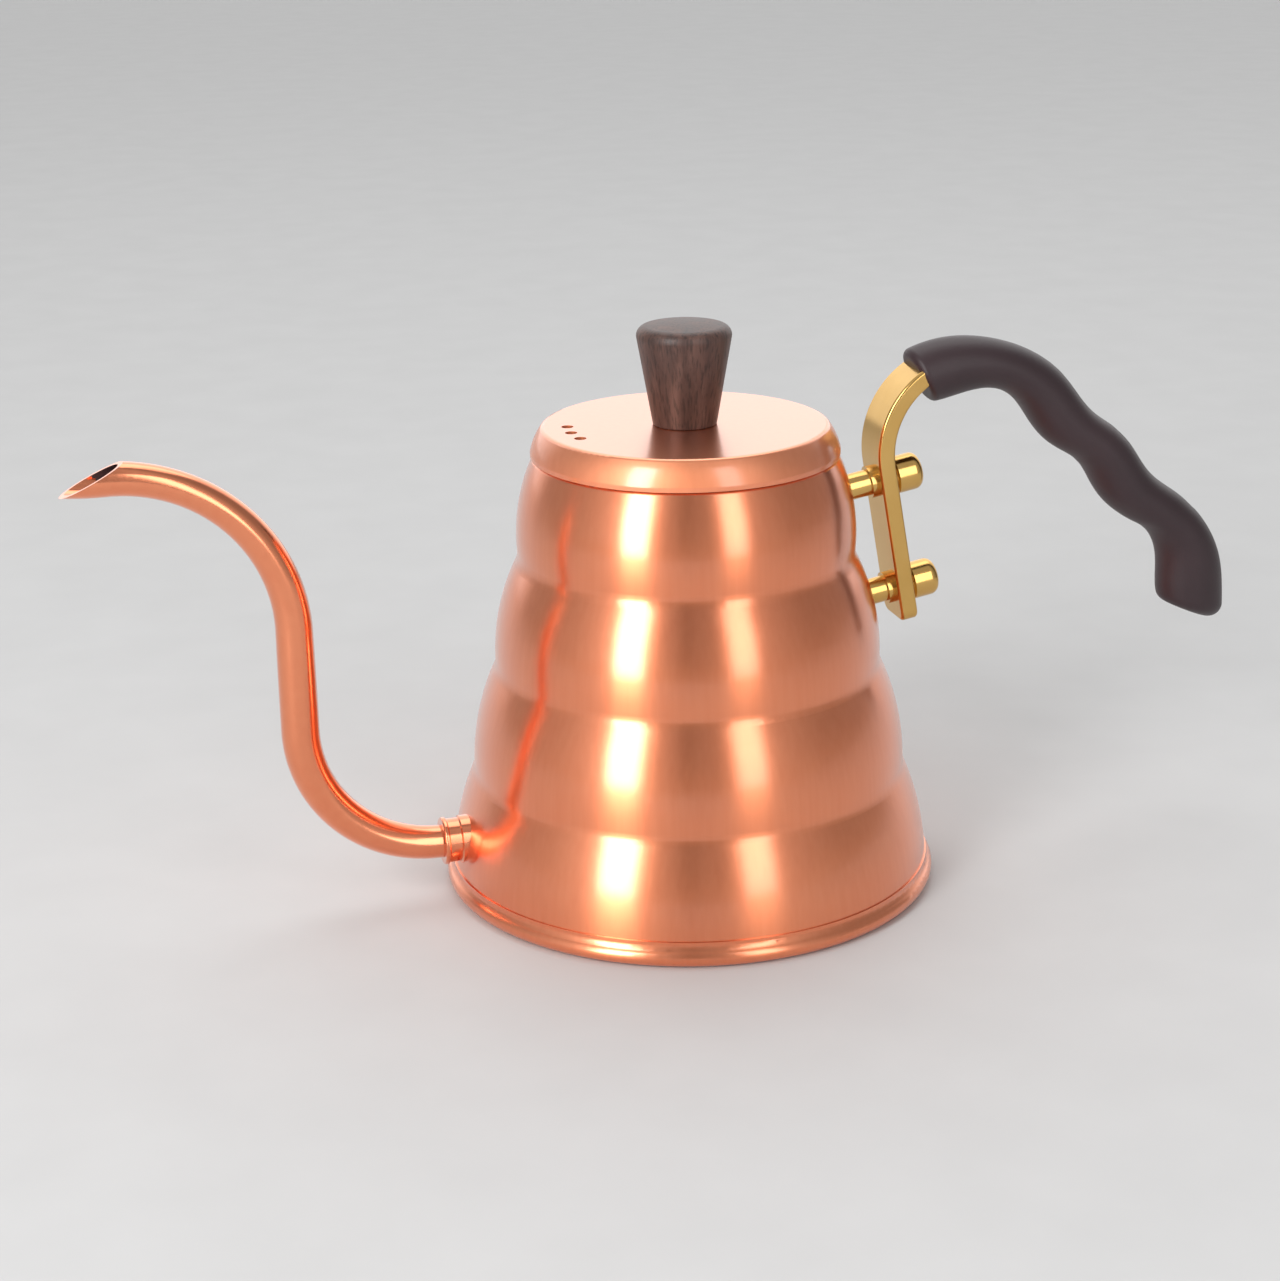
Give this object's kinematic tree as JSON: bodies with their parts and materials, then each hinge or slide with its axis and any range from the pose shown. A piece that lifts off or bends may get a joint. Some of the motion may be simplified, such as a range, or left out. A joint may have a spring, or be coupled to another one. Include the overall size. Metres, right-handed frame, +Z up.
{
  "type": "gooseneck kettle",
  "caption": "Gooseneck drip kettle: ribbed conical copper body, slim curved spout, lift-off lid with a wooden knob, and an arched grip on a bolted brass strap.",
  "frame": {"origin": "centre of the flat bottom that the kettle stands on", "axes": "+Z up along the body's axis, spout along -X, handle along +X, mirror plane y = 0"},
  "size_m": [0.3403, 0.1418, 0.1616],
  "materials": {
    "copper": "polished",
    "brass": "satin",
    "steel": "satin",
    "walnut": "matte",
    "grip": "matte"
  },
  "bodies": {
    "kettle": {"body_shell": "copper", "base_pan": "copper", "spout_tube": "copper", "spout_collar": "copper", "spout_backing_ring": "copper", "handle_strap": "brass", "lower_bolt": "brass", "lower_spacer": "brass", "lower_washer": "brass", "lower_cap_nut": "brass", "lower_inner_washer": "brass", "upper_bolt": "brass", "upper_spacer": "brass", "upper_washer": "brass", "upper_cap_nut": "brass", "upper_inner_washer": "brass", "handle_grip": "grip"},
    "knob_fastener": {"knob_screw": "steel", "knob_washer": "steel"},
    "lid": {"lid_plate": "copper", "lid_skirt": "copper", "knob": "walnut", "knob_insert": "brass"}
  },
  "joints": [
    {"name": "lid_lift", "type": "slide", "parent": "kettle", "child": "knob_fastener", "axis": [0, 0, 1], "range_m": [0, 0.07]},
    {"name": "lid_turn", "type": "hinge", "parent": "knob_fastener", "child": "lid", "pos_m": [0, 0, 0.133], "axis": [0, 0, 1], "continuous": true}
  ]
}
